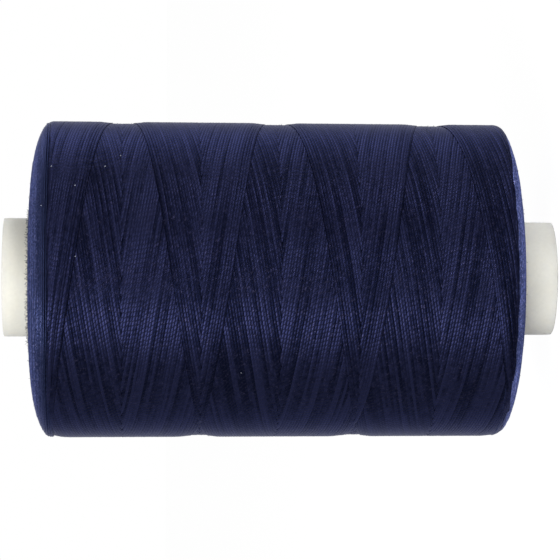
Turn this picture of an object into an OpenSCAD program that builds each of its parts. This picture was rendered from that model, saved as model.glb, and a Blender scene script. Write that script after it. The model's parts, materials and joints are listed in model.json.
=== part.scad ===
// Spool of sewing thread: a moulded tube that carries a cylindrical, cross-wound package.
// Sizes are in millimetres. The tube stands on its foot with its axis on +Z, and the origin
// is the centre of the foot.

/* [Tube] */
// Length of the tube
tube_len = 62; // [61:0.5:75]
// Outer diameter of the tube at its foot
tube_foot_d = 12.9; // [12.4:0.1:15]
// Outer diameter of the tube at its top end, wider by the mould's draft
tube_top_d = 13.5; // [12.4:0.1:15]
// Diameter of the bore, which slips over a spool pin
bore_d = 10.4; // [8:0.1:10.8]
// Width of the chamfer at each mouth of the bore
mouth_chamfer = 0.4; // [0.2:0.1:0.6]
// Length of the bevel on the outer edge of each tube end
rim_bevel_len = 0.6; // [0.3:0.1:1.5]
// Depth of that bevel
rim_bevel_depth = 0.15; // [0.05:0.05:0.3]

/* [Thread package] */
// Height of the package's lower face above the foot
wind_lift = 4; // [2:0.1:5]
// Length of the package along the tube
wind_len = 55; // [40:0.5:55]
// Diameter of the package just above its lower shoulder
wind_foot_d = 35.2; // [32:0.1:42]
// Diameter of the package just below its upper shoulder
wind_top_d = 35.6; // [32:0.1:42]
// Radius within which the end faces are flat
face_flat_r = 9.7; // [8:0.1:11]
// Radius of the arc by which an end face falls away to its shoulder
shoulder_arc_r = 16.4; // [14:0.1:24]
// Radius of the shoulder's corner
shoulder_corner_r = 0.8; // [0.4:0.1:1.5]
// Clearance between pieces that seat on each other
seat_gap = 0.03; // [0.02:0.01:0.05]

/* [Outer layer] */
// Strokes of the cross-winding, up and down by turns, that form the outer layer
strokes = 8; // [4:2:8]
// Thickness of the band of threads that a stroke lays down
band_t = 0.45; // [0.3:0.05:0.6]
// Radial gap between a band and the band that crosses over it
cross_gap = 0.46; // [0.45:0.01:0.6]
// Axial gap between neighbouring bands where they turn back
turn_gap = 0.5; // [0.45:0.05:0.8]

/* [Hidden] */
$fn = 96;

// The band has a ring of points at every station, and all its turns share the same stations.
turn_rings = 24;
ring_deg = 360 / turn_rings;
// Two strokes fall short of six turns, so that each pair of strokes starts beside the last.
stroke_rings = 3 * turn_rings - turn_rings / strokes;
last_ring = strokes * stroke_rings;
// Stations between the turning points of neighbouring bands
corner_step = 2 * turn_rings / strokes;
// Half the number of stations in which a band turns back
corner_half = 3;

// Share of the band's width that its flat faces take, between its thinner edges
band_flat = 0.72;
// Depth to which a foot of the outer layer is rooted in the package
root_depth = 1;

wind_z0 = wind_lift;
wind_z1 = wind_lift + wind_len;

function mix(a, b, t) = a + (b - a) * t;
function tube_r(z) = mix(tube_foot_d, tube_top_d, z / tube_len) / 2;
function wind_r(z) = mix(wind_foot_d, wind_top_d, (z - wind_z0) / wind_len) / 2;

// Axial depth below the end face at which the shoulder's arc has swollen to radius r
function arc_depth(r) = shoulder_arc_r - sqrt(pow(shoulder_arc_r, 2) - pow(r - face_flat_r, 2));

// The outer layer lies between the depths at which the shoulders reach the package's side.
layer_z0 = wind_z0 + arc_depth(wind_foot_d / 2);
layer_z1 = wind_z1 - arc_depth(wind_top_d / 2);

// Axial advance of a band from one ring to the next, and the band's width that fills the rest
advance = (layer_z1 - layer_z0 + turn_gap)
          / (stroke_rings - corner_half + corner_step - corner_half / 2);
band_w = advance * (corner_step - corner_half / 2) - turn_gap;
low_turn_z = layer_z0 + band_w / 2;
high_turn_z = layer_z1 - band_w / 2;

// Radius of a band's middle: level 0 is crossed over by level 1, whose outside is the package's
function level_r(level, z) = wind_r(z) - band_t / 2 - (1 - level) * (band_t + cross_gap);
// Radius of the body beneath, which clears the flat sides of the lower level
function body_r(z) = (level_r(0, z) - band_t / 2) * cos(ring_deg / 2) - seat_gap;

// Distance travelled in d rings from a turning point, which is rounded
function travel(d) =
    d < corner_half ? advance * d * d / (2 * corner_half) : advance * (d - corner_half / 2);
function ring_z(u) =
    let (stroke = floor(u / stroke_rings),
         done = u - stroke * stroke_rings,
         left = stroke_rings - done,
         rising = stroke % 2 == 0,
         from_z = rising ? low_turn_z : high_turn_z,
         to_z = rising ? high_turn_z : low_turn_z,
         way = rising ? 1 : -1)
    done < left ? from_z + way * travel(done) : to_z - way * travel(left);
// A band rises on level 0 and falls on level 1, and climbs over where it turns back.
function ring_level(u) =
    u == 0 ? 0
    : u == last_ring ? 1
    : u % stroke_rings == 0 ? 0.5
    : floor(u / stroke_rings) % 2;

// Section of the band in its half plane, as [radius, height] points
function section(u) =
    let (z = ring_z(u), r = level_r(ring_level(u), z), w = band_w / 2, t = band_t / 2)
    [[r, z + w], [r - t, z + w * band_flat], [r - t, z - w * band_flat],
     [r, z - w], [r + t, z - w * band_flat], [r + t, z + w * band_flat]];
function turned(p, deg) = [p[0] * cos(deg), p[0] * sin(deg), p[1]];
function ring_points(u) = [for (p = section(u)) turned(p, u * ring_deg)];

// Each end of the band runs straight for one band width, and is cut square where it meets the
// package's foot. Lengths along the end are measured from the middle of its flat side.
foot_along = band_w - level_r(0, low_turn_z) * sin(ring_deg / 2);
function squared(near, far, deg, along) =
    [for (i = [0:5])
        let (n = [-sin(deg), cos(deg), 0], a = near[i] * n, b = far[i] * n)
        mix(near[i], far[i], (along - a) / (b - a))];
first_ring = squared(ring_points(0), ring_points(1), ring_deg / 2, -foot_along);
final_ring = squared(ring_points(last_ring), ring_points(last_ring - 1), -ring_deg / 2, foot_along);

band_rings = [for (u = [0:last_ring])
    u == 0 ? first_ring : u == last_ring ? final_ring : ring_points(u)];

// Least gap between two sections in one half plane, from points to sides
function to_side(p, a, b) =
    let (d = b - a, t = max(0, min(1, ((p - a) * d) / (d * d))))
    norm(p - a - t * d);
function points_gap(f, g) =
    min([for (p = f, i = [0:5]) to_side(p, g[i], g[(i + 1) % 6])]);
function sections_gap(f, g) = min(points_gap(f, g), points_gap(g, f));
function half_section(u) = (section(u) + section(u + 1)) / 2;
function near_sections(list) =
    [for (i = [0:len(list) - 2], j = [i + 1:len(list) - 1])
        if (abs(list[i][0][1] - list[j][0][1]) < band_w + 1) sections_gap(list[i], list[j])];
least_gap = min([for (s = [0:turn_rings - 1])
    min(concat(
        near_sections([for (u = [s:turn_rings:last_ring]) section(u)]),
        near_sections([for (u = [s:turn_rings:last_ring - 1]) half_section(u)])))]);
echo(str("Least gap between turns of the outer layer: ", least_gap, " mm"));
echo(str("Turns in the outer layer: ", last_ring / turn_rings));

// Points of an arc from angle a to angle b about a centre
function arc(centre, r, a, b, steps) =
    [for (i = [0:steps]) let (t = mix(a, b, i / steps)) centre + r * [cos(t), sin(t)]];

// Shoulder from the flat end face to a side of radius r: way is 1 at the lower end, -1 above
function shoulder(end_z, r, way) =
    let (arc_centre = [face_flat_r, end_z + way * shoulder_arc_r],
         inner_r = shoulder_arc_r - shoulder_corner_r,
         turn = asin((r - shoulder_corner_r - face_flat_r) / inner_r),
         corner_centre = arc_centre + inner_r * [sin(turn), -way * cos(turn)])
    concat(
        arc(arc_centre, shoulder_arc_r, -way * 90, -way * (90 - turn), 8),
        arc(corner_centre, shoulder_corner_r, -way * (90 - turn), 0, 6));
function reversed(list) = [for (i = [len(list) - 1:-1:0]) list[i]];

// Moulded tube, open right through, with a bevelled rim and a chamfered mouth at each end
module tube() {
    bore_r = bore_d / 2;
    color([0.93, 0.93, 0.89])
    rotate_extrude()
    polygon([
        [bore_r + mouth_chamfer, 0],
        [tube_r(0) - rim_bevel_depth, 0],
        [tube_r(rim_bevel_len), rim_bevel_len],
        [tube_r(tube_len - rim_bevel_len), tube_len - rim_bevel_len],
        [tube_r(tube_len) - rim_bevel_depth, tube_len],
        [bore_r + mouth_chamfer, tube_len],
        [bore_r, tube_len - mouth_chamfer],
        [bore_r, mouth_chamfer]
    ]);
}

// The package beneath its outer layer, with the rounded shoulders on which the layer turns back
module thread_body() {
    color([0.09, 0.10, 0.22]) {
        rotate_extrude()
        polygon(concat(
            [[tube_r(wind_z0) + seat_gap, wind_z0]],
            shoulder(wind_z0, body_r(low_turn_z), 1),
            reversed(shoulder(wind_z1, body_r(high_turn_z), -1)),
            [[tube_r(wind_z1) + seat_gap, wind_z1]]
        ));
        band_foot();
    }
}

// Foot on the package where the outer layer's thread comes up and, a level higher, dives in
module band_foot() {
    tilt = ring_deg / 2;
    reach = foot_along + seat_gap;
    out = [cos(tilt), sin(tilt)];
    side = [-sin(tilt), cos(tilt)];
    start = -reach * side;
    function mirrored(p) = [p[0], -p[1]];
    root = body_r(low_turn_z) - root_depth;
    low = (level_r(0, low_turn_z) + band_t / 2) * cos(tilt);
    high = (level_r(1, low_turn_z) + band_t / 2) * cos(tilt);
    translate([0, 0, low_turn_z - band_flat * band_w / 2])
    linear_extrude(band_flat * band_w)
    polygon([
        start + root * out,
        start + low * out,
        mirrored(start + high * out),
        mirrored(start + root * out)
    ]);
}

// The outer layer: one unbroken band of threads, wound up and down in crossing turns
module outer_turns() {
    rings = len(band_rings);
    color([0.13, 0.15, 0.31])
    polyhedron(
        points = [for (ring = band_rings) each ring],
        faces = concat(
            [for (i = [1:4]) [0, i, i + 1]],
            [for (u = [0:rings - 2], i = [0:5])
                let (a = 6 * u + i, b = 6 * u + (i + 1) % 6)
                each [[a, a + 6, b + 6], [a, b + 6, b]]],
            [for (i = [1:4]) let (e = 6 * (rings - 1)) [e, e + i + 1, e + i]]
        ));
}

tube();
thread_body();
outer_turns();
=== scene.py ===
"""A spool of two-ply sewing thread, cross-wound on a moulded plastic tube."""

import json
import math
import random
from functools import partial

import bmesh
import bpy
from bpy.props import FloatProperty, FloatVectorProperty, IntProperty, PointerProperty
from mathutils import Matrix, Vector

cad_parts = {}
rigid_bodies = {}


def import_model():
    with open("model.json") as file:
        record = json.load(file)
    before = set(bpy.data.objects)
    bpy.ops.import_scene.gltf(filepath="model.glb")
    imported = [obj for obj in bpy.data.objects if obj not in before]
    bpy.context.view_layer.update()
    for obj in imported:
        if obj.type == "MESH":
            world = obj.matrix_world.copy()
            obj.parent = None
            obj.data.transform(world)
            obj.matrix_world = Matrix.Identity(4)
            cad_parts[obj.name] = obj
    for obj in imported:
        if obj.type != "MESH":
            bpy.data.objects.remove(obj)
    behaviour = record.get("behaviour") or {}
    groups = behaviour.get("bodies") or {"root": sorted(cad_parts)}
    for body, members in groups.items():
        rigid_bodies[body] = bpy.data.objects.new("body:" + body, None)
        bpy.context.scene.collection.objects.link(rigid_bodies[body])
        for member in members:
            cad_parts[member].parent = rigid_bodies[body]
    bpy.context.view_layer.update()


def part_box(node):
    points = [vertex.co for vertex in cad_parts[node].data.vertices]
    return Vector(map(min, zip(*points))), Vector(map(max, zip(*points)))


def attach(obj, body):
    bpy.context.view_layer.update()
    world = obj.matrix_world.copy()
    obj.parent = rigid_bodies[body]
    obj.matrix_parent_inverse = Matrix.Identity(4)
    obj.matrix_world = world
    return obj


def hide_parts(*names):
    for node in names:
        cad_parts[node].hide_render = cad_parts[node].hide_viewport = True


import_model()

bl_info = {
    "name": "Thread Spool",
    "version": (1, 0, 0),
    "blender": (4, 5, 0),
    "location": "3D View > Sidebar > Spool",
    "description": "Winds a spool of sewing thread on a plastic tube",
    "category": "Add Mesh",
}

MM = 0.001
TUBE_LOW, TUBE_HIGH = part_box("tube")
WOUND_LOW, WOUND_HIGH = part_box("thread_body")

# The tube's outside radius widens a little from its foot to its top.
TUBE_FOOT_RADIUS = 6.39 * MM
TUBE_TOP_RADIUS = 6.7 * MM

# The package stands a little off the tube's axis, and its foot end a little
# higher than the solid's. Each end bends over in a wide, low corner.
OFF_CENTRE = -0.22 * MM
PACKAGE_FOOT = WOUND_LOW.z + 0.2 * MM
PACKAGE_TOP = WOUND_HIGH.z
FOOT_RADIUS = 17.83 * MM
TOP_RADIUS = 18.03 * MM
CORNER_WIDTH = 8.5 * MM
CORNER_HEIGHT = 2.65 * MM


# ---------------------------------------------------------------- node tools


class Field:
    """A number in a node tree, so that a formula reads as one line."""

    def __init__(self, tree, socket):
        self.tree = tree
        self.socket = socket

    def __add__(self, other):
        return calc(self.tree, "ADD", self, other)

    def __sub__(self, other):
        return calc(self.tree, "SUBTRACT", self, other)

    def __rsub__(self, other):
        return calc(self.tree, "SUBTRACT", other, self)

    def __mul__(self, other):
        return calc(self.tree, "MULTIPLY", self, other)

    def __truediv__(self, other):
        return calc(self.tree, "DIVIDE", self, other)

    def __rtruediv__(self, other):
        return calc(self.tree, "DIVIDE", other, self)


def feed(tree, socket, value):
    """Sets a socket to a value, or links it to a field or another socket."""
    if isinstance(value, Field):
        tree.links.new(value.socket, socket)
    elif isinstance(value, bpy.types.NodeSocket):
        tree.links.new(value, socket)
    else:
        socket.default_value = value


def add(tree, kind, inputs=None, **settings):
    """A new node with its settings and its inputs, by socket name or number."""
    made = tree.nodes.new(kind)
    for key, value in settings.items():
        setattr(made, key, value)
    for key, value in (inputs or {}).items():
        feed(tree, made.inputs[key], value)
    return made


def calc(tree, operation, *values):
    """One step of arithmetic on fields and plain numbers."""
    made = add(tree, "ShaderNodeMath", dict(enumerate(values)), operation=operation)
    return Field(tree, made.outputs[0])


def smooth(tree, value, low, high):
    """0 below low, 1 above high, and a soft step between."""
    made = add(
        tree,
        "ShaderNodeMapRange",
        {"Value": value, "From Min": low, "From Max": high},
        interpolation_type="SMOOTHSTEP",
    )
    return Field(tree, made.outputs["Result"])


def vector(tree, x=0.0, y=0.0, z=0.0):
    """A vector from three numbers or fields."""
    return add(tree, "ShaderNodeCombineXYZ", {"X": x, "Y": y, "Z": z}).outputs[0]


def cloud(tree, where, scale=1.0, detail=0.0):
    """Smooth noise about zero, from -0.5 to 0.5, at a vector."""
    made = add(
        tree,
        "ShaderNodeTexNoise",
        {"Vector": where, "Scale": scale, "Detail": detail},
        noise_dimensions="3D",
    )
    return Field(tree, made.outputs[0]) - 0.5


def chance(tree, low, high, key, seed):
    """A random number between low and high, the same for the same key."""
    made = add(tree, "FunctionNodeRandomValue", data_type="FLOAT")
    named = [s for s in made.inputs if s.enabled]
    feed(tree, named[0], low)
    feed(tree, named[1], high)
    feed(tree, made.inputs["ID"], key)
    feed(tree, made.inputs["Seed"], seed)
    shown = next(s for s in made.outputs if s.enabled)
    return Field(tree, shown)


def new_tree(name, kind, sockets):
    """A node tree with named inputs, given as (name, socket type, default)."""
    tree = bpy.data.node_groups.new(name, kind)
    for label, socket_type, default in sockets:
        made = tree.interface.new_socket(
            name=label, in_out="INPUT", socket_type=socket_type
        )
        if default is not None:
            made.default_value = default
    return tree


def inputs_of(tree):
    """A function that gives a tree's input by its name."""
    start = add(tree, "NodeGroupInput")
    return lambda name: Field(tree, start.outputs[name])


def point_index(tree):
    """The number of each point, from 0."""
    return Field(tree, add(tree, "GeometryNodeInputIndex").outputs[0])


def store(tree, geometry, name, value, data_type="FLOAT"):
    """Keeps a field on the points under a name that a material can read."""
    return add(
        tree,
        "GeometryNodeStoreNamedAttribute",
        {"Geometry": geometry, "Name": name, "Value": value},
        data_type=data_type,
        domain="POINT",
    ).outputs[0]


def spin_thread(tree, curve, get, facing=None):
    """Gives a curve the body of a thread, and keeps where round it a point is.

    A thread that is pressed on a package is flatter in the direction it faces.
    """
    ring = add(
        tree,
        "GeometryNodeCurvePrimitiveCircle",
        {"Resolution": get("Sides"), "Radius": get("Thickness") * 0.5},
    ).outputs["Curve"]
    index = point_index(tree)
    angle = index / get("Sides") * math.tau
    around = vector(tree, calc(tree, "COSINE", angle), calc(tree, "SINE", angle))
    ring = store(tree, ring, "round", around, "FLOAT_VECTOR")
    if facing is not None:
        curve = add(
            tree,
            "GeometryNodeSetCurveNormal",
            {"Curve": curve, "Normal": facing},
            mode="FREE",
        ).outputs[0]
        ring = add(
            tree,
            "GeometryNodeTransform",
            {"Geometry": ring, "Scale": vector(tree, get("Flatness"), 1.0, 1.0)},
        ).outputs[0]
    body = add(
        tree,
        "GeometryNodeCurveToMesh",
        {"Curve": curve, "Profile Curve": ring, "Fill Caps": True},
    ).outputs[0]
    return add(tree, "GeometryNodeSetShadeSmooth", {"Geometry": body}).outputs[0]


def finish_tree(tree, geometry, get):
    """Ends a tree in real, painted geometry."""
    tree.interface.new_socket(
        name="Geometry", in_out="OUTPUT", socket_type="NodeSocketGeometry"
    )
    real = add(tree, "GeometryNodeRealizeInstances", {"Geometry": geometry}).outputs[0]
    painted = add(
        tree,
        "GeometryNodeSetMaterial",
        {"Geometry": real, "Material": get("Material")},
    ).outputs[0]
    add(tree, "NodeGroupOutput", {"Geometry": painted})
    return tree


def grow(name, tree, values):
    """The piece that a tree makes with these values, as a plain mesh.

    An input that has no value here keeps the tree's own.
    """
    piece = bpy.data.objects.new(name, bpy.data.meshes.new(name))
    bpy.context.scene.collection.objects.link(piece)
    carrier = piece.modifiers.new("Winding", "NODES")
    carrier.node_group = tree
    for item in tree.interface.items_tree:
        if item.in_out == "INPUT" and item.name in values:
            carrier[item.identifier] = values[item.name]
    graph = bpy.context.evaluated_depsgraph_get()
    mesh = bpy.data.meshes.new_from_object(
        piece.evaluated_get(graph), preserve_all_data_layers=True, depsgraph=graph
    )
    piece.modifiers.remove(carrier)
    piece.data = mesh
    mesh.name = name
    if not mesh.polygons:
        raise RuntimeError(f"{name} came out empty")
    return piece


# ---------------------------------------------------------------- winding trees


PACKAGE_SOCKETS = [
    ("Package foot", "NodeSocketFloat", PACKAGE_FOOT),
    ("Package top", "NodeSocketFloat", PACKAGE_TOP),
    ("Foot radius", "NodeSocketFloat", FOOT_RADIUS),
    ("Top radius", "NodeSocketFloat", TOP_RADIUS),
    ("Corner width", "NodeSocketFloat", CORNER_WIDTH),
    ("Corner height", "NodeSocketFloat", CORNER_HEIGHT),
    ("Off centre", "NodeSocketFloat", OFF_CENTRE),
]
THREAD_SOCKETS = [
    ("Thickness", "NodeSocketFloat", 0.3 * MM),
    ("Sides", "NodeSocketInt", 8),
    ("Seed", "NodeSocketInt", 1),
    ("Material", "NodeSocketMaterial", None),
]


def package_radius(tree, get, height):
    """The package's outside radius at a height, with its bent corners."""
    foot = get("Package foot")
    top = get("Package top")
    share = (height - foot) / (top - foot)
    side = get("Foot radius") + (get("Top radius") - get("Foot radius")) * share
    inset = calc(tree, "MINIMUM", height - foot, top - height)
    past = calc(tree, "MAXIMUM", 1.0 - inset / get("Corner height"), 0.0)
    past = calc(tree, "MINIMUM", past, 1.0)
    fall = 1.0 - calc(tree, "SQRT", 1.0 - past * past)
    return side - get("Corner width") * fall


def outward(tree):
    """The direction from the package's axis to a point."""
    flat = add(
        tree,
        "ShaderNodeVectorMath",
        {0: add(tree, "GeometryNodeInputPosition").outputs[0], 1: (1.0, 1.0, 0.0)},
        operation="MULTIPLY",
    ).outputs[0]
    return add(
        tree, "ShaderNodeVectorMath", {0: flat}, operation="NORMALIZE"
    ).outputs[0]


def outer_layer_tree():
    """The outermost layer: one thread laid to and fro, in stroke pairs.

    Each point knows how long ago it was laid, and how long ago the thread that
    crosses it there was laid. The newer of the two shows and the other dips
    under it, which is what draws the long diamonds on a cross-wound package.
    """
    tree = new_tree(
        "Cross-wound layer",
        "GeometryNodeTree",
        PACKAGE_SOCKETS
        + THREAD_SOCKETS
        + [
            ("First pair", "NodeSocketFloat", 0.0),
            ("Pairs", "NodeSocketFloat", 14.0),
            ("Pairs in layer", "NodeSocketFloat", 56.0),
            ("Turns in pair", "NodeSocketFloat", 6.0),
            ("Steps in turn", "NodeSocketFloat", 216.0),
            ("Lift foot", "NodeSocketFloat", 5.6 * MM),
            ("Lift", "NodeSocketFloat", 51.72 * MM),
            ("Start turn", "NodeSocketFloat", 0.8194),
            ("Foot softness", "NodeSocketFloat", 0.45 * MM),
            ("Top softness", "NodeSocketFloat", 0.84 * MM),
            ("Turning scatter", "NodeSocketFloat", 0.22 * MM),
            ("Layer step", "NodeSocketFloat", 0.2 * MM),
            ("Front fall", "NodeSocketFloat", 0.6),
            ("Flatness", "NodeSocketFloat", 0.24),
            ("Waver", "NodeSocketFloat", 0.035 * MM),
        ],
    )
    get = inputs_of(tree)
    op = partial(calc, tree)
    index = point_index(tree)
    steps_in_pair = get("Turns in pair") * get("Steps in turn")
    count = get("Pairs") * steps_in_pair + 1.0

    # Where along the winding: whole pairs laid, and the share of this one.
    laid = get("First pair") + index / steps_in_pair
    share = op("FRACT", laid)
    falling = op("GREATER_THAN", share, 0.5)
    hand = 1.0 - falling * 2.0
    from_top = get("Lift") * op("ABSOLUTE", share * 2.0 - 1.0)
    from_foot = get("Lift") - from_top

    # The height, with a soft turn at each end that scatters a little.
    soft_top, soft_foot = get("Top softness"), get("Foot softness")
    top_turn = op("SQRT", from_top * from_top + soft_top * soft_top) - from_top
    foot_turn = op("SQRT", from_foot * from_foot + soft_foot * soft_foot)
    pair = op("FLOOR", laid)
    near_pair = op("ROUND", laid)
    scatter = get("Turning scatter")
    seed = get("Seed")
    fade = 1.6 * MM
    top_slip = chance(tree, -1.0, 0.6, pair, seed)
    foot_slip = chance(tree, -0.6, 1.0, near_pair, seed + 7.0)
    top_slip = top_slip * scatter * op("EXPONENT", from_top / -fade)
    foot_slip = foot_slip * scatter * op("EXPONENT", from_foot / -fade)
    height = get("Lift foot") + foot_turn - top_turn + top_slip + foot_slip

    # Ages run from 0, just laid, to 1, a whole layer ago. The older thread
    # dips, and so does one that crosses the layer's oldest threads.
    age = 1.0 - laid / get("Pairs in layer")
    pitch = get("Lift") * 2.0 / get("Turns in pair")
    other_age = op("FRACT", age + hand * from_foot * 2.0 / pitch + 4.0)
    older = age - other_age
    blend = 0.0175
    dip = smooth(tree, older, -blend, blend)
    oldest, oldest_dip = 0.975, 0.35
    dip = op("MAXIMUM", dip, smooth(tree, other_age, oldest, 1.0) * oldest_dip)

    # The angle, with a little unevenness from one stroke to the next.
    turns = get("Start turn") + laid * (
        get("Turns in pair") - 1.0 / get("Pairs in layer")
    )
    slow = cloud(tree, vector(tree, laid * 0.9, hand * 5.0, seed), 1.0)
    turns = turns + slow * 0.45 / get("Pairs in layer")
    angle = turns * math.tau
    flat = vector(tree, op("SINE", angle), op("COSINE", angle), laid * 0.61)
    waver = cloud(tree, flat, 6.0, 1.0) * get("Waver") * 2.0
    height = height + waver

    # How far out: older threads lie lower, and so do the last ones laid.
    thick = get("Thickness") * get("Flatness")
    radius = package_radius(tree, get, height) - thick * 0.5
    front_fall = get("Front fall")
    front_width = 0.085
    sunk = front_fall * (1.0 - smooth(tree, age, 0.0, front_width))
    sunk = sunk + front_fall * (1.0 - smooth(tree, other_age, 0.0, front_width))
    radius = radius - get("Layer step") * (age + other_age + sunk)
    radius = radius - dip * thick * 0.7
    swell = cloud(tree, flat, 3.0, 2.0)
    radius = radius + swell * get("Waver") * 1.2
    place = vector(
        tree,
        radius * op("SINE", angle) + get("Off centre"),
        radius * op("COSINE", angle) * -1.0,
        height,
    )

    line = add(
        tree, "GeometryNodeMeshLine", {"Count": count}, mode="OFFSET"
    ).outputs[0]
    line = store(tree, line, "laid", laid)
    step = get("Foot radius") * math.tau / get("Steps in turn")
    drift = cloud(tree, vector(tree, laid * 2.3, hand, seed), 1.0) * 3.0 * MM
    line = store(tree, line, "along", index * step + drift)
    line = store(tree, line, "rising", 1.0 - falling)

    # What lies well under a newer thread, and not at a front, is left out.
    covered = op("GREATER_THAN", older, blend * 2.2)
    past_front = op("GREATER_THAN", other_age, 0.03)
    line = store(tree, line, "covered", covered * past_front)
    line = add(
        tree, "GeometryNodeSetPosition", {"Geometry": line, "Position": place}
    ).outputs[0]
    hidden = add(
        tree, "GeometryNodeInputNamedAttribute", {"Name": "covered"}, data_type="FLOAT"
    )
    line = add(
        tree,
        "GeometryNodeDeleteGeometry",
        {
            "Geometry": line,
            "Selection": op("GREATER_THAN", Field(tree, hidden.outputs[0]), 0.5),
        },
        domain="POINT",
    ).outputs[0]
    curve = add(tree, "GeometryNodeMeshToCurve", {"Mesh": line}).outputs[0]
    return finish_tree(tree, spin_thread(tree, curve, get, outward(tree)), get)


def end_winding_tree():
    """The turned-back threads on a package's end, side by side round the tube."""
    tree = new_tree(
        "Package end",
        "GeometryNodeTree",
        PACKAGE_SOCKETS
        + THREAD_SOCKETS
        + [
            ("Upper end", "NodeSocketFloat", 1.0),
            ("Tube radius", "NodeSocketFloat", 6.7 * MM),
            ("Spacing", "NodeSocketFloat", 0.28 * MM),
            ("Rings", "NodeSocketFloat", 41.0),
            ("Steps in turn", "NodeSocketFloat", 130.0),
            ("Shoulder drop", "NodeSocketFloat", 0.2 * MM),
            ("Shoulder start", "NodeSocketFloat", 0.2 * MM),
            ("Shoulder end", "NodeSocketFloat", 1.0 * MM),
            ("Waver", "NodeSocketFloat", 0.2 * MM),
        ],
    )
    get = inputs_of(tree)
    op = partial(calc, tree)

    upper = get("Upper end")
    side = get("Foot radius") * (1.0 - upper) + get("Top radius") * upper
    face = get("Package foot") * (1.0 - upper) + get("Package top") * upper
    sign = upper * 2.0 - 1.0

    # The end's outline, from its corner to the tube.
    points = 160
    bend_share = 0.85
    index = point_index(tree)
    share = index / (points - 1.0)
    bend = op("MINIMUM", share / bend_share, 1.0) * (math.pi / 2)
    flat = op("MAXIMUM", share - bend_share, 0.0) / (1.0 - bend_share)
    inner = side - get("Corner width")
    out = inner + get("Corner width") * op("COSINE", bend)
    out = out - flat * (inner - get("Tube radius"))
    inset = get("Corner height") * (1.0 - op("SINE", bend))
    outline = add(
        tree, "GeometryNodeMeshLine", {"Count": points}, mode="OFFSET"
    ).outputs[0]
    outline = add(
        tree,
        "GeometryNodeSetPosition",
        {"Geometry": outline, "Position": vector(tree, out, 0.0, inset)},
    ).outputs[0]
    outline = add(tree, "GeometryNodeMeshToCurve", {"Mesh": outline}).outputs[0]

    # One thread that works its way inwards along that outline.
    rings = index / get("Steps in turn")
    angle = rings * math.tau
    ring_place = vector(
        tree, op("SINE", angle), op("COSINE", angle), rings * 0.23 + get("Seed")
    )
    waver = cloud(tree, ring_place, 1.6, 2.0) * get("Waver")
    travel = rings * get("Spacing") + waver
    travel = op("MAXIMUM", travel, 0.0)
    sample = add(
        tree,
        "GeometryNodeSampleCurve",
        {"Curves": outline, "Length": travel},
        mode="LENGTH",
        use_all_curves=True,
        data_type="FLOAT",
    )
    at = add(tree, "ShaderNodeSeparateXYZ", {0: sample.outputs["Position"]})
    lean = add(tree, "ShaderNodeSeparateXYZ", {0: sample.outputs["Tangent"]})
    under = 1.0 - smooth(tree, travel, get("Shoulder start"), get("Shoulder end"))
    drop = get("Thickness") * 0.5 + get("Shoulder drop") * under
    drop = drop + cloud(tree, ring_place, 5.0, 2.0) * 0.12 * MM
    radius = Field(tree, at.outputs["X"]) + drop * Field(tree, lean.outputs["Z"])
    depth = Field(tree, at.outputs["Z"]) - drop * Field(tree, lean.outputs["X"])
    place = vector(
        tree,
        radius * op("SINE", angle) + get("Off centre"),
        radius * op("COSINE", angle) * -1.0,
        face - sign * depth,
    )
    line = add(
        tree,
        "GeometryNodeMeshLine",
        {"Count": get("Rings") * get("Steps in turn") + 1.0},
        mode="OFFSET",
    ).outputs[0]
    line = store(tree, line, "laid", rings)
    step = get("Foot radius") * math.tau / get("Steps in turn")
    drift = cloud(tree, ring_place, 3.0) * 6.0 * MM
    mean_ring = 0.7  # of the outermost one's length
    line = store(tree, line, "along", index * step * mean_ring + drift)
    line = store(tree, line, "rising", 0.5)
    line = add(
        tree, "GeometryNodeSetPosition", {"Geometry": line, "Position": place}
    ).outputs[0]
    curve = add(tree, "GeometryNodeMeshToCurve", {"Mesh": line}).outputs[0]
    return finish_tree(tree, spin_thread(tree, curve, get), get)


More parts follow.
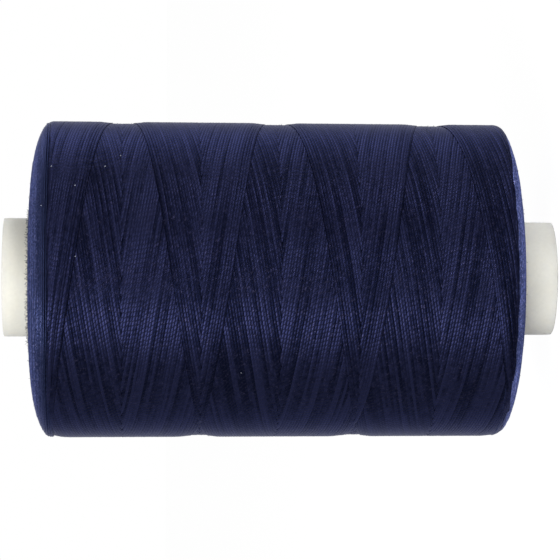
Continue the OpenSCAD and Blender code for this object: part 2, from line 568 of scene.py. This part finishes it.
def fuzz_tree():
    """Short loose fibres that stand off a host surface."""
    tree = new_tree(
        "Loose fibres",
        "GeometryNodeTree",
        [
            ("Host", "NodeSocketObject", None),
            ("Density", "NodeSocketFloat", 1.0e6),
            ("Reach", "NodeSocketFloat", 30 * MM),
            ("Length", "NodeSocketFloat", 0.5 * MM),
            ("Lean", "NodeSocketFloat", 1.0),
        ]
        + THREAD_SOCKETS,
    )
    get = inputs_of(tree)
    op = partial(calc, tree)

    host = add(
        tree, "GeometryNodeObjectInfo", {"Object": get("Host")}
    ).outputs["Geometry"]
    place = add(tree, "GeometryNodeInputPosition").outputs[0]
    spot = add(tree, "ShaderNodeSeparateXYZ", {0: place})
    x = Field(tree, spot.outputs["X"])
    y = Field(tree, spot.outputs["Y"])
    facing = add(
        tree,
        "ShaderNodeVectorMath",
        {0: outward(tree), 1: add(tree, "GeometryNodeInputNormal").outputs[0]},
        operation="DOT_PRODUCT",
    )
    near = op("LESS_THAN", op("SQRT", x * x + y * y), get("Reach"))
    outside = op("GREATER_THAN", Field(tree, facing.outputs["Value"]), -0.5)
    ground = add(
        tree,
        "GeometryNodeSeparateGeometry",
        {"Geometry": host, "Selection": near * outside},
        domain="FACE",
    ).outputs["Selection"]
    strewn = add(
        tree,
        "GeometryNodeDistributePointsOnFaces",
        {"Mesh": ground, "Density": get("Density"), "Seed": get("Seed")},
        distribute_method="RANDOM",
    )

    # One fibre of about unit length, which leans over towards its tip.
    arc = add(
        tree,
        "GeometryNodeCurvePrimitiveBezierSegment",
        {
            "Resolution": 4,
            "Start": (0.0, 0.0, 0.0),
            "Start Handle": (0.05, 0.0, 0.35),
            "End Handle": (0.2, 0.1, 0.7),
            "End": (0.45, 0.15, 0.9),
        },
        mode="POSITION",
    ).outputs[0]
    index = point_index(tree)
    seed = get("Seed")
    size = chance(tree, 0.35, 1.0, index, seed + 3.0) * get("Length")
    twirl = chance(tree, 0.0, math.tau, index, seed + 5.0)
    tip = chance(tree, -1.0, 1.0, index, seed + 9.0) * get("Lean")
    euler = add(
        tree, "FunctionNodeEulerToRotation", {0: vector(tree, tip, tip * 0.5, twirl)}
    ).outputs[0]
    turned = add(
        tree,
        "FunctionNodeRotateRotation",
        {"Rotation": strewn.outputs["Rotation"], "Rotate By": euler},
        rotation_space="LOCAL",
    ).outputs[0]
    placed = add(
        tree,
        "GeometryNodeInstanceOnPoints",
        {
            "Points": strewn.outputs["Points"],
            "Instance": arc,
            "Rotation": turned,
            "Scale": vector(tree, size, size, size),
        },
    ).outputs[0]
    real = add(tree, "GeometryNodeRealizeInstances", {"Geometry": placed}).outputs[0]
    real = store(tree, real, "laid", index)
    real = store(tree, real, "along", index)
    return finish_tree(tree, spin_thread(tree, real, get), get)


# ---------------------------------------------------------------- materials


def read(tree, name, output="Fac"):
    """What the winding kept on a surface under a name."""
    made = add(tree, "ShaderNodeAttribute", attribute_name=name)
    return Field(tree, made.outputs[output])


def put_out(tree, **outputs):
    """Ends a shader node group in its named outputs."""
    for name in outputs:
        tree.interface.new_socket(
            name=name, in_out="OUTPUT", socket_type="NodeSocketFloat"
        )
    add(tree, "NodeGroupOutput", outputs)
    return tree


def ply_group():
    """Two plies twisted together: their height and the grooves between them."""
    tree = new_tree(
        "Ply twist",
        "ShaderNodeTree",
        [("Ply length", "NodeSocketFloat", 1.05 * MM)],
    )
    get = inputs_of(tree)
    around = read(tree, "round", "Vector")
    unit = add(tree, "ShaderNodeVectorMath", {0: around}, operation="NORMALIZE")
    part = add(tree, "ShaderNodeSeparateXYZ", {0: unit.outputs[0]})
    x = Field(tree, part.outputs["X"])
    y = Field(tree, part.outputs["Y"])
    turn = read(tree, "along") / get("Ply length") * (2 * math.tau)
    wave = (x * x - y * y) * calc(tree, "COSINE", turn)
    wave = wave + x * y * 2.0 * calc(tree, "SINE", turn)
    height = calc(tree, "SQRT", calc(tree, "MAXIMUM", wave * 0.5 + 0.5, 0.0))
    groove = 1.0 - smooth(tree, height, 0.05, 0.75)
    return put_out(tree, Height=height, Groove=groove)


def streak_and_sheen_group():
    """Lighter and darker stretches of a thread, from 0 to 1.

    A painted sheen makes the falling strokes a little lighter than the
    rising ones, as if the twist shone more on them.
    """
    tree = new_tree(
        "Thread streaks",
        "ShaderNodeTree",
        [
            ("Stretch", "NodeSocketFloat", 2.6 * MM),
            ("Strands", "NodeSocketFloat", 0.17),
        ],
    )
    get = inputs_of(tree)
    run = read(tree, "along") / get("Stretch")
    strand = read(tree, "laid")

    # Beads on a thread, one thread, a few threads, and a bundle of them.
    single = cloud(tree, vector(tree, run, strand * 3.7), 1.0, 1.0)
    bead = cloud(tree, vector(tree, run * 4.0, strand * 3.7, 7.0))
    few = cloud(tree, vector(tree, run * 0.4, strand * get("Strands") * 2.6, 9.0))
    bundle = cloud(tree, vector(tree, run * 0.12, strand * get("Strands"), 4.0))
    total = bead * 0.5 + single * 0.2 + few * 0.3 + bundle * 1.3 + 0.5
    # Painted sheen: the falling strokes are made lighter than the rising ones.
    total = total + (0.5 - read(tree, "rising")) * 0.14
    return put_out(tree, Streaks=total)


def mottle_group():
    """Cloudy patches of a surface, coarse and fine, from 0 to 1."""
    tree = new_tree(
        "Mottle",
        "ShaderNodeTree",
        [
            ("Coarse scale", "NodeSocketFloat", 300.0),
            ("Fine scale", "NodeSocketFloat", 3000.0),
            ("Fine share", "NodeSocketFloat", 0.3),
        ],
    )
    get = inputs_of(tree)
    place = add(tree, "ShaderNodeTexCoord").outputs["Object"]
    coarse = cloud(tree, place, get("Coarse scale"), 3.0)
    fine = cloud(tree, place, get("Fine scale"), 2.0)
    both = coarse * (1.0 - get("Fine share")) + fine * get("Fine share") + 0.5
    return put_out(tree, Patches=both)


def group_in(tree, group, values=None):
    """Places a node group in a material with its own values."""
    made = add(tree, "ShaderNodeGroup", node_tree=group)
    for key, value in (values or {}).items():
        feed(tree, made.inputs[key], value)
    return made


def blend_colour(tree, factor, low, high):
    """A colour between two others."""
    made = add(tree, "ShaderNodeMix", data_type="RGBA")
    feed(tree, made.inputs[0], factor)
    shades = [s for s in made.inputs if s.type == "RGBA" and s.enabled]
    feed(tree, shades[0], low)
    feed(tree, shades[1], high)
    return next(s for s in made.outputs if s.type == "RGBA" and s.enabled)


def new_material(name):
    """A material with only a Principled shader, and that shader."""
    made = bpy.data.materials.new(name)
    made.use_nodes = True
    return made, made.node_tree, made.node_tree.nodes["Principled BSDF"]


def shade(colour, factor, warmth=1.0):
    """A colour made lighter or darker, and warmer or cooler."""
    red, green, blue = (c * factor for c in colour[:3])
    return (red * warmth, green * (warmth + 1.0) / 2, blue, 1.0)


def thread_material(name, dye, groups, brightness=1.0, ramp=None, plied=True):
    """Dyed spun polyester thread, which shines in the colour of its dye.

    Its light stretches are greyer than its dark ones, and single fibres have
    painted glints, paler than the dye. Painted shade darkens the grooves
    between the plies. On an end it is more speckled, and painted shade
    darkens it towards the package's corner: ramp gives the first and last
    ring of that change.
    """
    made, tree, principled = new_material(name)

    # How fine the patches are, how much they show, how softly the shades
    # change, and how strongly the painted glints of single fibres show.
    fine, speckle, softness, shine = 0.6, 0.25, 0.25, 0.4
    if ramp:
        fine, speckle, softness, shine = 0.7, 0.7, 0.09, 0.7
    patches = group_in(
        tree,
        groups["mottle"],
        {"Coarse scale": 260.0, "Fine scale": 5200.0, "Fine share": fine},
    ).outputs["Patches"]
    streaks_and_sheen = group_in(tree, groups["streaks_and_sheen"]).outputs["Streaks"]
    glints = group_in(
        tree,
        groups["mottle"],
        {"Coarse scale": 2800.0, "Fine scale": 6500.0, "Fine share": 0.5},
    ).outputs["Patches"]
    level = Field(tree, patches) * speckle + Field(tree, streaks_and_sheen) * (1.0 - speckle)
    level = smooth(tree, level, 0.5 - softness, 0.5 + softness)
    colour = blend_colour(
        tree,
        level,
        shade(dye, 0.45 * brightness, 0.9),
        shade(dye, 1.4 * brightness, 1.15),
    )
    # Painted highlight: glints of single fibres, painted paler and lighter than the dye.
    glint = smooth(tree, glints, 0.52, 0.72) * shine
    colour = blend_colour(tree, glint, colour, shade(dye, 3.0 * brightness, 2.0))
    # Painted shade: on an end, towards the package's corner, the thread is darkened down
    # to about the side's dye, as if the outer layer's edge shaded it.
    if ramp:
        inner = smooth(tree, read(tree, "laid"), *ramp)
        dark = shade(dye, 0.13 * brightness)
        colour = blend_colour(tree, inner, dark, colour)
    if plied:
        twist = group_in(tree, groups["ply"])
        groove = Field(tree, twist.outputs["Groove"])
        # Painted shade: the grooves between the plies are darkened in the colour,
        # besides their bump.
        colour = blend_colour(
            tree, groove * 0.5, colour, shade(dye, 0.22 * brightness, 0.65)
        )
        bump = add(
            tree,
            "ShaderNodeBump",
            {"Height": twist.outputs["Height"], "Strength": 1.0, "Distance": 0.006 * MM},
        )
        feed(tree, principled.inputs["Normal"], bump.outputs[0])
        feed(tree, principled.inputs["Roughness"], groove * 0.2 + 0.36)
        feed(tree, principled.inputs["Metallic"], 0.985 - groove * 0.42)
    else:
        principled.inputs["Roughness"].default_value = 0.7
        principled.inputs["Metallic"].default_value = 0.5
    feed(tree, principled.inputs["Base Color"], colour)
    principled.inputs["Specular IOR Level"].default_value = 0.1
    principled.inputs["Specular Tint"].default_value = (0.56, 0.58, 0.78, 1.0)
    return made


def tube_material(name, colour, mottle):
    """Off-white moulded polypropylene, a little waxy."""
    made, tree, principled = new_material(name)
    patches = Field(
        tree,
        group_in(
            tree,
            mottle,
            {"Coarse scale": 180.0, "Fine scale": 2600.0, "Fine share": 0.35},
        ).outputs["Patches"],
    )
    paint = blend_colour(
        tree,
        smooth(tree, patches, 0.25, 0.75),
        shade(colour, 0.93),
        shade(colour, 1.03),
    )
    feed(tree, principled.inputs["Base Color"], paint)
    feed(tree, principled.inputs["Roughness"], patches * 0.2 + 0.6)
    principled.inputs["Specular IOR Level"].default_value = 0.25
    bump = add(
        tree,
        "ShaderNodeBump",
        {"Height": patches, "Strength": 0.35, "Distance": 0.03 * MM},
    )
    feed(tree, principled.inputs["Normal"], bump.outputs[0])
    principled.inputs["Subsurface Weight"].default_value = 0.7
    principled.inputs["Subsurface Radius"].default_value = (1.0, 0.95, 0.85)
    principled.inputs["Subsurface Scale"].default_value = 2.0 * MM
    return made


def lint_material(name):
    """Pale dust."""
    made, tree, principled = new_material(name)
    patches = cloud(
        tree, add(tree, "ShaderNodeTexCoord").outputs["Object"], 9000.0, 1.0
    )
    paint = blend_colour(
        tree, patches + 0.5, (0.1, 0.11, 0.15, 1.0), (0.34, 0.36, 0.41, 1.0)
    )
    feed(tree, principled.inputs["Base Color"], paint)
    principled.inputs["Roughness"].default_value = 0.9
    return made


# ---------------------------------------------------------------- mesh tools


def revolve(name, outline, segments):
    """A closed ring body from an outline of (radius, height) points."""
    shape = bmesh.new()
    rings = []
    for k in range(segments):
        angle = math.tau * k / segments
        rings.append(
            [
                shape.verts.new((r * math.sin(angle), -r * math.cos(angle), z))
                for r, z in outline
            ]
        )
    count = len(outline)
    for k in range(segments):
        here = rings[k]
        there = rings[(k + 1) % segments]
        for i in range(count):
            j = (i + 1) % count
            shape.faces.new((here[i], there[i], there[j], here[j]))
    bmesh.ops.recalc_face_normals(shape, faces=shape.faces)
    for face in shape.faces:
        face.smooth = True
    mesh = bpy.data.meshes.new(name)
    shape.to_mesh(mesh)
    shape.free()
    piece = bpy.data.objects.new(name, mesh)
    bpy.context.scene.collection.objects.link(piece)
    return piece


def rounded(corners, radius, steps=4):
    """An outline whose corners, given as (radius, height), are rounded."""
    points = []
    count = len(corners)
    for i in range(count):
        here = Vector(corners[i])
        before = Vector(corners[i - 1]) - here
        after = Vector(corners[(i + 1) % count]) - here
        reach = min(radius, before.length * 0.45, after.length * 0.45)
        start = here + before.normalized() * reach
        end = here + after.normalized() * reach
        for k in range(steps + 1):
            t = k / steps
            points.append(
                tuple(start * (1 - t) ** 2 + here * 2 * t * (1 - t) + end * t * t)
            )
    return points


def dress(piece, material, slot, *nodes):
    """Paints a piece, puts it on the body and hides the parts that it stands in for."""
    if not piece.data.materials:
        piece.data.materials.append(material)
    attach(piece, "root")
    if nodes:
        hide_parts(*nodes)
    return piece


# ---------------------------------------------------------------- settings


class SPOOL_PG_tube(bpy.types.PropertyGroup):
    """Sizes and colour of the tube."""

    bore: FloatProperty(
        name="Bore",
        description="Inside diameter of the tube",
        default=10.4 * MM,
        subtype="DISTANCE",
        unit="LENGTH",
    )
    rim: FloatProperty(
        name="Rim",
        description="Length of the bevel at each end of the tube",
        default=0.6 * MM,
        subtype="DISTANCE",
        unit="LENGTH",
    )
    colour: FloatVectorProperty(
        name="Colour",
        description="Colour of the plastic",
        default=(0.77, 0.755, 0.668),
        subtype="COLOR",
        size=3,
        min=0.0,
        max=1.0,
    )


class SPOOL_PG_thread(bpy.types.PropertyGroup):
    """Sizes and colour of the thread and of its winding."""

    thickness: FloatProperty(
        name="Thickness",
        description="Diameter of the thread",
        default=0.3 * MM,
        subtype="DISTANCE",
        unit="LENGTH",
    )
    pairs: IntProperty(
        name="Stroke pairs",
        description="Pairs of strokes, up and down, in the outermost layer",
        default=56,
        min=8,
    )
    step: FloatProperty(
        name="Layer step",
        description="How much lower a thread lies at the age of a whole layer",
        default=0.2 * MM,
        subtype="DISTANCE",
        unit="LENGTH",
    )
    colour: FloatVectorProperty(
        name="Colour",
        description="Colour of the dye",
        default=(0.0064, 0.008, 0.0251),
        subtype="COLOR",
        size=3,
        min=0.0,
        max=1.0,
    )
    # Painted sheen: the ends are wound with the same dye as the side, but are given this
    # much lighter colour for the sheen and side light on them.
    painted_sheen_end_colour: FloatVectorProperty(
        name="End colour",
        description="Colour of the sheen-painted, turned-back thread on the ends",
        default=(0.06, 0.079, 0.213),
        subtype="COLOR",
        size=3,
        min=0.0,
        max=1.0,
    )
    seed: IntProperty(
        name="Seed", description="Seed of the winding's unevenness", default=4
    )


class SPOOL_PG_stage(bpy.types.PropertyGroup):
    """Light and camera."""

    lens: FloatProperty(
        name="Lens",
        description="Focal length of the camera in millimetres",
        default=183.5,
    )
    distance: FloatProperty(
        name="Distance",
        description="From the camera to the middle of the spool",
        default=323.9 * MM,
        subtype="DISTANCE",
        unit="LENGTH",
    )
    tilt: FloatProperty(
        name="Tilt",
        description="How far above the middle the camera looks from",
        default=math.radians(2.7),
        subtype="ANGLE",
    )
    roll: FloatProperty(
        name="Roll",
        description="How far the camera leans to its left",
        default=math.radians(0.15),
        subtype="ANGLE",
    )


# ---------------------------------------------------------------- operators


class SPOOL_OT_tube(bpy.types.Operator):
    """Moulds the tube"""

    bl_idname = "spool.mould_tube"
    bl_label = "Mould Tube"

    def execute(self, context):
        prefs = context.scene.spool_tube
        low, high = TUBE_LOW.z, TUBE_HIGH.z
        foot, top = TUBE_FOOT_RADIUS, TUBE_TOP_RADIUS
        bore = prefs.bore / 2
        bevel = 0.03 * MM
        draft = 0.003 * MM
        chamfer = 0.3 * MM
        edge_radius = 0.07 * MM
        rim = prefs.rim
        corners = [
            (bore + chamfer, low),
            (foot - bevel, low),
            (foot + draft, low + rim),
            (top - draft, high - rim),
            (top - bevel, high),
            (bore + chamfer, high),
            (bore, high - chamfer),
            (bore, low + chamfer),
        ]
        piece = revolve("tube_moulding", rounded(corners, edge_radius), 128)
        material = tube_material(
            "polypropylene", prefs.colour, bpy.data.node_groups["Mottle"]
        )
        dress(piece, material, "tube", "tube")
        return {"FINISHED"}


class SPOOL_OT_finishes(bpy.types.Operator):
    """Mixes the shared finishes"""

    bl_idname = "spool.mix_finishes"
    bl_label = "Mix Finishes"

    def execute(self, context):
        prefs = context.scene.spool_thread
        groups = {
            "ply": ply_group(),
            "streaks_and_sheen": streak_and_sheen_group(),
            "mottle": mottle_group(),
        }
        thread_material("thread_outer", prefs.colour, groups)
        # Painted sheen: the ends take the much lighter end colour.
        thread_material("thread_top", prefs.painted_sheen_end_colour, groups, ramp=(1.0, 15.0))
        # Painted light: the foot end is painted 1.48 times lighter than the top end, for
        # the light that reaches it from below.
        thread_material("thread_foot", prefs.painted_sheen_end_colour, groups, 1.48, (1.5, 7.5))
        # Painted shade: the core is a darker copy of the side's dye, for the shade under
        # the outer threads.
        thread_material("thread_deep", prefs.colour, groups, 0.7, plied=False)
        thread_material("thread_fuzz", prefs.colour, groups, 3.0, plied=False)
        return {"FINISHED"}


class SPOOL_OT_core(bpy.types.Operator):
    """Fills the package under its outermost threads"""

    bl_idname = "spool.fill_core"
    bl_label = "Fill Core"

    def execute(self, context):
        inner = 6.3 * MM
        collar = inner + 1.6 * MM
        under_side = 0.6 * MM
        under_end = 0.2 * MM
        low, high = PACKAGE_FOOT + under_end, PACKAGE_TOP - under_end
        bend_out = CORNER_WIDTH - under_end
        steps = 20

        def bend(radius, end, up):
            """The corner's outline, from the package's side to its end."""
            points = []
            for k in range(steps + 1):
                a = math.pi / 2 * k / steps
                out = radius - under_side - bend_out * (1 - math.cos(a))
                points.append((out, end + up * CORNER_HEIGHT * (1 - math.sin(a))))
            return points

        outline = [(inner, low), (collar, low)]
        outline += reversed(bend(FOOT_RADIUS, low, 1))
        outline += bend(TOP_RADIUS, high, -1)
        outline += [(collar, high), (inner, high)]
        piece = revolve("package_core", outline, 180)
        piece.data.transform(Matrix.Translation((OFF_CENTRE, 0, 0)))
        dress(piece, bpy.data.materials["thread_deep"], "thread", "thread_body")
        return {"FINISHED"}


class SPOOL_OT_layer(bpy.types.Operator):
    """Winds the outermost layer, one thread laid to and fro"""

    bl_idname = "spool.wind_layer"
    bl_label = "Wind Outer Layer"

    def execute(self, context):
        prefs = context.scene.spool_thread
        tree = outer_layer_tree()
        spread = 1.42  # of its diameter, once it is pressed flat

        # The newer a thread is, the less of it is covered, so the later
        # meshes take fewer stroke pairs.
        parts = 4
        ends = [round(prefs.pairs * math.sqrt(k / parts)) for k in range(parts + 1)]
        for k in range(parts):
            piece = grow(
                f"outer_layer_{k + 1}",
                tree,
                {
                    "First pair": float(ends[k]),
                    "Pairs": float(ends[k + 1] - ends[k]),
                    "Pairs in layer": float(prefs.pairs),
                    "Thickness": prefs.thickness * spread,
                    "Layer step": prefs.step,
                    "Seed": prefs.seed,
                    "Material": bpy.data.materials["thread_outer"],
                },
            )
            dress(piece, None, "thread", "outer_turns")
        return {"FINISHED"}


class SPOOL_OT_ends(bpy.types.Operator):
    """Winds the turned-back threads on both ends"""

    bl_idname = "spool.wind_ends"
    bl_label = "Wind Ends"

    def execute(self, context):
        prefs = context.scene.spool_thread
        tree = end_winding_tree()
        widening = 0.02 * MM  # of the tube, from its own end to the package's
        shoulder = 0.8 * MM
        for name, paint, upper, radius, start in (
            ("foot_end", "thread_foot", 0.0, TUBE_FOOT_RADIUS + widening, 0.7 * MM),
            ("top_end", "thread_top", 1.0, TUBE_TOP_RADIUS - widening, 0.2 * MM),
        ):
            piece = grow(
                name,
                tree,
                {
                    "Upper end": upper,
                    "Tube radius": radius + prefs.thickness * 0.4,
                    "Shoulder start": start,
                    "Shoulder end": start + shoulder,
                    "Thickness": prefs.thickness * 1.05,
                    "Sides": 6,
                    "Seed": prefs.seed + int(upper) * 3,
                    "Material": bpy.data.materials[paint],
                },
            )
            dress(piece, None, "thread", "thread_body")
        return {"FINISHED"}


class SPOOL_OT_fuzz(bpy.types.Operator):
    """Raises loose fibres on the package, most of them round the tube"""

    bl_idname = "spool.raise_fuzz"
    bl_label = "Raise Fuzz"

    def execute(self, context):
        tree = fuzz_tree()
        host = bpy.data.objects["package_core"]

        # Fibres on each square metre, how far out they grow, and their length.
        for name, density, reach, length in (
            ("fuzz_collar", 17.0e6, 7.9 * MM, 0.8 * MM),
            ("fuzz_surface", 0.3e6, 40 * MM, 0.55 * MM),
        ):
            piece = grow(
                name,
                tree,
                {
                    "Host": host,
                    "Density": density,
                    "Reach": reach,
                    "Length": length,
                    "Lean": 0.9,
                    "Thickness": 0.035 * MM,
                    "Sides": 3,
                    "Seed": 11,
                    "Material": bpy.data.materials["thread_fuzz"],
                },
            )
            dress(piece, None, "thread")
        return {"FINISHED"}


class SPOOL_OT_lint(bpy.types.Operator):
    """Drops a few specks of pale dust on the thread"""

    bl_idname = "spool.drop_lint"
    bl_label = "Drop Lint"

    def execute(self, context):
        dice = random.Random(context.scene.spool_thread.seed)
        clear = 30  # millimetres from the axis, well outside the package

        # Height in millimetres, and degrees from the front towards +X.
        spots = [
            (56.3, 43.3),
            (48.8, 50.0),
            (50.5, 44.1),
            (53.7, 34.6),
            (57.3, 27.1),
            (53.6, 8.0),
            (35.7, -34.7),
        ]
        for _ in range(16):
            spots.append((dice.uniform(7, 56), dice.uniform(100, 260)))
        hosts = [
            piece
            for piece in bpy.data.objects
            if piece.name.startswith("outer_layer") or piece.name.endswith("_end")
        ]
        shape = bmesh.new()
        for height, turn in spots:
            angle = math.radians(turn)
            out = Vector((math.sin(angle), -math.cos(angle), 0))
            start = Vector((OFF_CENTRE, 0, height * MM)) + out * clear * MM
            hits = [piece.ray_cast(start, -out) for piece in hosts]
            spot = min(
                (hit[1] for hit in hits if hit[0]), key=lambda at: (at - start).length
            )
            turned = out.to_track_quat("Z", "Y").to_matrix().to_4x4()
            size = dice.uniform(0.045, 0.07) * MM
            bmesh.ops.create_icosphere(
                shape,
                subdivisions=1,
                radius=1.0,
                matrix=Matrix.Translation(spot)
                @ turned
                @ Matrix.Rotation(dice.uniform(0, math.pi), 4, "Z")
                @ Matrix.Diagonal((size * 1.7, size, size * 0.7, 1.0)),
            )
        mesh = bpy.data.meshes.new("lint")
        shape.to_mesh(mesh)
        shape.free()
        piece = bpy.data.objects.new("lint", mesh)
        context.scene.collection.objects.link(piece)
        dress(piece, lint_material("dust"), "thread")
        return {"FINISHED"}


class SPOOL_OT_stage(bpy.types.Operator):
    """Sets the floor, the light and the camera"""

    bl_idname = "spool.set_stage"
    bl_label = "Set Stage"

    def execute(self, context):
        scene = context.scene
        prefs = scene.spool_stage
        scene.view_settings.view_transform = "Standard"

        floor_mesh = bpy.data.meshes.new("floor")
        reach = 6.0
        floor_mesh.from_pydata(
            [(x * reach, y * reach, 0) for x, y in ((-1, -1), (1, -1), (1, 1), (-1, 1))],
            [],
            [(0, 1, 2, 3)],
        )
        floor = bpy.data.objects.new("floor", floor_mesh)
        scene.collection.objects.link(floor)
        floor.data.materials.append(self.floor_material())
        scene.world = self.white_world()

        # Turn and rise in degrees, size in metres, watts, and distance in metres.
        middle = Vector((0, 0, 31 * MM))
        for name, azimuth, rise, size, power, far in (
            ("key", -30, 16, (0.344, 0.273), 3.75, 0.7),
            ("key_high", -48, 50, (0.24, 0.3), 0.3, 0.7),
            ("fill", 27, 4, (0.3, 0.2), 0.45, 0.7),
            ("front", 10, -6, (0.1, 0.014), 0.09, 0.2),
            ("kicker", 62, -8, (0.08, 0.014), 0.045, 0.15),
            ("top", 113, 6, (0.54, 0.3), 1.75, 0.7),
        ):
            self.softbox(scene, name, middle, azimuth, rise, size, power, far)

        # The camera lies on its side: +X is up in its view, and +Z is left.
        tilt = prefs.tilt
        back = Vector((0, -math.cos(tilt), math.sin(tilt)))
        up = Matrix.Rotation(prefs.roll, 3, back) @ Vector((1, 0, 0))
        right = up.cross(back)
        aim = Vector((-0.232 * MM, 0, 30.82 * MM))
        place = Matrix((right, up, back)).transposed().to_4x4()
        place.translation = aim + back * prefs.distance
        data = bpy.data.cameras.new("camera")
        data.lens = prefs.lens
        data.sensor_width = 36
        data.clip_start = 0.01
        data.clip_end = 50
        camera = bpy.data.objects.new("camera", data)
        camera.matrix_world = place
        scene.collection.objects.link(camera)
        scene.camera = camera
        return {"FINISHED"}

    @staticmethod
    def softbox(scene, name, middle, azimuth, rise, size, power, far):
        """A flat lamp that faces the middle of the spool."""
        a, e = math.radians(azimuth), math.radians(rise)
        out = Vector(
            (math.sin(a) * math.cos(e), -math.cos(a) * math.cos(e), math.sin(e))
        )
        data = bpy.data.lights.new(name, "AREA")
        data.shape = "RECTANGLE"
        data.size, data.size_y = size
        data.energy = power
        lamp = bpy.data.objects.new(name, data)
        lamp.location = middle + out * far
        lamp.rotation_euler = (-out).to_track_quat("-Z", "Y").to_euler()
        lamp.visible_camera = False
        scene.collection.objects.link(lamp)

    @staticmethod
    def seen(tree):
        """1 for rays that show the backdrop itself."""
        path = add(tree, "ShaderNodeLightPath")
        total = Field(tree, path.outputs["Is Camera Ray"])
        total = total + Field(tree, path.outputs["Is Glossy Ray"])
        total = total + Field(tree, path.outputs["Is Transmission Ray"])
        return calc(tree, "MINIMUM", total, 1.0)

    def floor_material(self):
        """A pale floor that looks white, and keeps a faint shadow."""
        made = bpy.data.materials.new("pale_floor")
        made.use_nodes = True
        tree = made.node_tree
        tree.nodes.clear()
        glow = add(
            tree, "ShaderNodeEmission", {"Color": (1, 1, 1, 1), "Strength": 0.96}
        )
        thin = add(tree, "ShaderNodeBsdfDiffuse", {"Color": (0.1, 0.1, 0.1, 1)})
        bright = add(
            tree, "ShaderNodeAddShader", {0: glow.outputs[0], 1: thin.outputs[0]}
        )
        plain = add(tree, "ShaderNodeBsdfDiffuse", {"Color": (0.8, 0.8, 0.8, 1)})
        both = add(
            tree,
            "ShaderNodeMixShader",
            {0: self.seen(tree), 1: plain.outputs[0], 2: bright.outputs[0]},
        )
        add(tree, "ShaderNodeOutputMaterial", {"Surface": both.outputs[0]})
        return made

    def white_world(self):
        """A world that looks white and lights the spool gently."""
        made = bpy.data.worlds.new("studio")
        made.use_nodes = True
        tree = made.node_tree
        tree.nodes.clear()
        gentle = 0.31
        level = self.seen(tree) * (1.0 - gentle) + gentle
        back = add(
            tree, "ShaderNodeBackground", {"Color": (1, 1, 1, 1), "Strength": level}
        )
        add(tree, "ShaderNodeOutputWorld", {"Surface": back.outputs[0]})
        return made


class SPOOL_PT_panel(bpy.types.Panel):
    """The spool's settings and steps"""

    bl_idname = "SPOOL_PT_panel"
    bl_label = "Thread Spool"
    bl_space_type = "VIEW_3D"
    bl_region_type = "UI"
    bl_category = "Spool"

    def draw(self, context):
        layout = self.layout
        for name in ("spool_tube", "spool_thread", "spool_stage"):
            group = getattr(context.scene, name)
            box = layout.box()
            for key in group.__annotations__:
                box.prop(group, key)
        for made in OPERATORS:
            layout.operator(made.bl_idname)


OPERATORS = (
    SPOOL_OT_stage,
    SPOOL_OT_finishes,
    SPOOL_OT_tube,
    SPOOL_OT_core,
    SPOOL_OT_layer,
    SPOOL_OT_ends,
    SPOOL_OT_fuzz,
    SPOOL_OT_lint,
)
GROUPS = {
    "spool_tube": SPOOL_PG_tube,
    "spool_thread": SPOOL_PG_thread,
    "spool_stage": SPOOL_PG_stage,
}


def register():
    """Adds the classes and their settings."""
    for made in (*GROUPS.values(), *OPERATORS, SPOOL_PT_panel):
        bpy.utils.register_class(made)
    for name, made in GROUPS.items():
        setattr(bpy.types.Scene, name, PointerProperty(type=made))


def unregister():
    """Takes the classes and their settings away."""
    for name in GROUPS:
        delattr(bpy.types.Scene, name)
    for made in reversed((*GROUPS.values(), *OPERATORS, SPOOL_PT_panel)):
        bpy.utils.unregister_class(made)


def main():
    """Makes the spool step by step."""
    register()
    bpy.ops.spool.set_stage()
    bpy.ops.spool.mix_finishes()
    bpy.ops.spool.mould_tube()
    bpy.ops.spool.fill_core()
    bpy.ops.spool.wind_layer()
    bpy.ops.spool.wind_ends()
    bpy.ops.spool.raise_fuzz()
    bpy.ops.spool.drop_lint()


if __name__ == "__main__":
    main()
